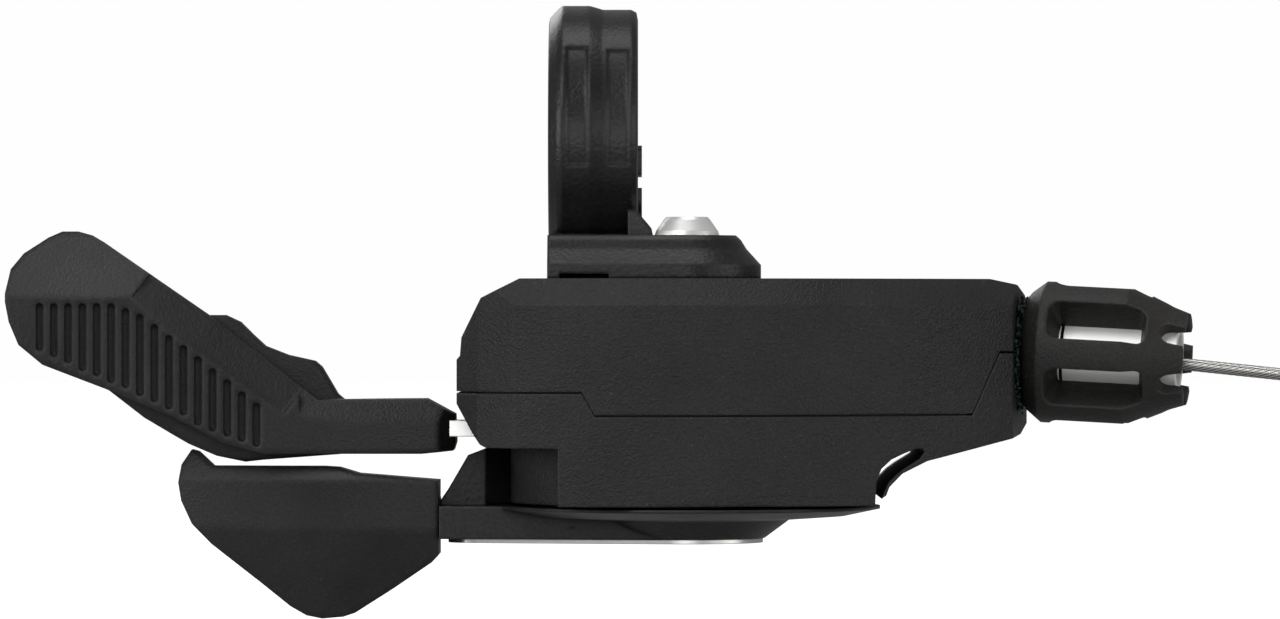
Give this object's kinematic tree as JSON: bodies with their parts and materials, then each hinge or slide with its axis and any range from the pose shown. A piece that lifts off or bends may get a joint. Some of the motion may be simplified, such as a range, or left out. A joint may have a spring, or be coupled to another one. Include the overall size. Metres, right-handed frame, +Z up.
{
  "type": "trigger gear shifter",
  "caption": "Trigger gear shifter for a flat bicycle handlebar: pod with thumb levers, bar clamp, barrel adjuster and inner wire.",
  "frame": {"origin": "centre of the handlebar clamp's bore", "axes": "+X along the handlebar towards the cable side, +Z up, the rider's side is +Y"},
  "size_m": [0.1743, 0.0529, 0.08],
  "materials": {
    "housing_plastic": "fine-grained moulded nylon",
    "lever_plastic": "satin moulded nylon",
    "grip_plastic": "satin moulded plastic",
    "clamp_metal": "forged, black anodised, satin",
    "hub_metal": "black anodised, satin",
    "bright_steel": "bright zinc-plated",
    "dark_steel": "blackened",
    "spring_steel": "spring wire",
    "sleeve_metal": "turned, bright",
    "neck_metal": "black anodised thread",
    "spool_plastic": "natural acetal",
    "plug_rubber": "matt",
    "wire_steel": "stranded, polished",
    "tie_plastic": "nylon tie",
    "cap_metal": "crimped"
  },
  "bodies": {
    "pod": {"top_cover": "housing_plastic", "lower_housing": "housing_plastic", "cable_port_plug": "plug_rubber", "housing_screws": "dark_steel", "clamp_band": "clamp_metal", "pinch_bolt": "dark_steel", "mounting_screw": "bright_steel", "main_axle": "bright_steel", "hub_washer": "bright_steel", "axle_nut": "bright_steel", "top_plate": "bright_steel", "base_plate": "bright_steel", "plate_pillars": "bright_steel", "base_bushing": "dark_steel", "holding_pawl_pin": "dark_steel", "holding_pawl_spring": "spring_steel", "release_spring": "spring_steel", "threaded_neck": "neck_metal", "barrel_o_ring": "plug_rubber", "cable_wire": "wire_steel", "cable_run": "wire_steel", "cable_coil": "wire_steel", "cable_tie": "tie_plastic", "cable_tail": "wire_steel", "cable_end_cap": "cap_metal"},
    "spool": {"cable_spool": "spool_plastic", "index_ratchet": "bright_steel", "winding_ratchet": "bright_steel", "spool_spring": "spring_steel", "cable_nipple": "bright_steel"},
    "release_lever": {"release_arm": "bright_steel", "release_paddle": "lever_plastic"},
    "holding_pawl": {"holding_pawl": "dark_steel"},
    "pull_lever": {"pull_hub": "hub_metal", "pull_carrier": "bright_steel", "hub_plate": "bright_steel", "pull_paddle": "lever_plastic", "pull_pawl_pin": "dark_steel", "lever_return_spring": "spring_steel", "pull_pawl_spring": "spring_steel"},
    "pull_pawl": {"pull_pawl": "dark_steel"},
    "barrel": {"barrel_grip": "grip_plastic", "barrel_sleeve": "sleeve_metal"}
  },
  "joints": [
    {"name": "spool_turn", "type": "hinge", "parent": "pod", "child": "spool", "pos_m": [0.0094, -0.011, -0.02], "axis": [0, 0, 1], "range_deg": [0, 165]},
    {"name": "release_press", "type": "hinge", "parent": "pod", "child": "release_lever", "pos_m": [0.0094, -0.011, -0.02], "axis": [0, 0, 1], "range_deg": [0, 12], "stiffness_Nm_per_rad": 0.8, "springref_deg": -5.73},
    {"name": "holding_pawl_lift", "type": "hinge", "parent": "pod", "child": "holding_pawl", "pos_m": [0.0264, -0.0125, -0.025], "axis": [0, 0, 1], "range_deg": [0, 9.6]},
    {"name": "pull_press", "type": "hinge", "parent": "pod", "child": "pull_lever", "pos_m": [0.0094, -0.011, -0.02], "axis": [0, 0, 1], "range_deg": [0, 45], "stiffness_Nm_per_rad": 0.3, "springref_deg": -17.19},
    {"name": "pull_pawl_lift", "type": "hinge", "parent": "pull_lever", "child": "pull_pawl", "pos_m": [0.00156, -0.00165, -0.032], "axis": [0, 0, 1], "range_deg": [-8, 0], "stiffness_Nm_per_rad": 0.004, "springref_deg": 11.46},
    {"name": "barrel_turn", "type": "hinge", "parent": "pod", "child": "barrel", "pos_m": [0.0437, -0.00595, -0.02111], "axis": [0.9803, -0.1905, -0.0523], "continuous": true}
  ],
  "couplings": [
    {"joint": "holding_pawl_lift", "follows": "release_press", "ratio": 0.8}
  ]
}
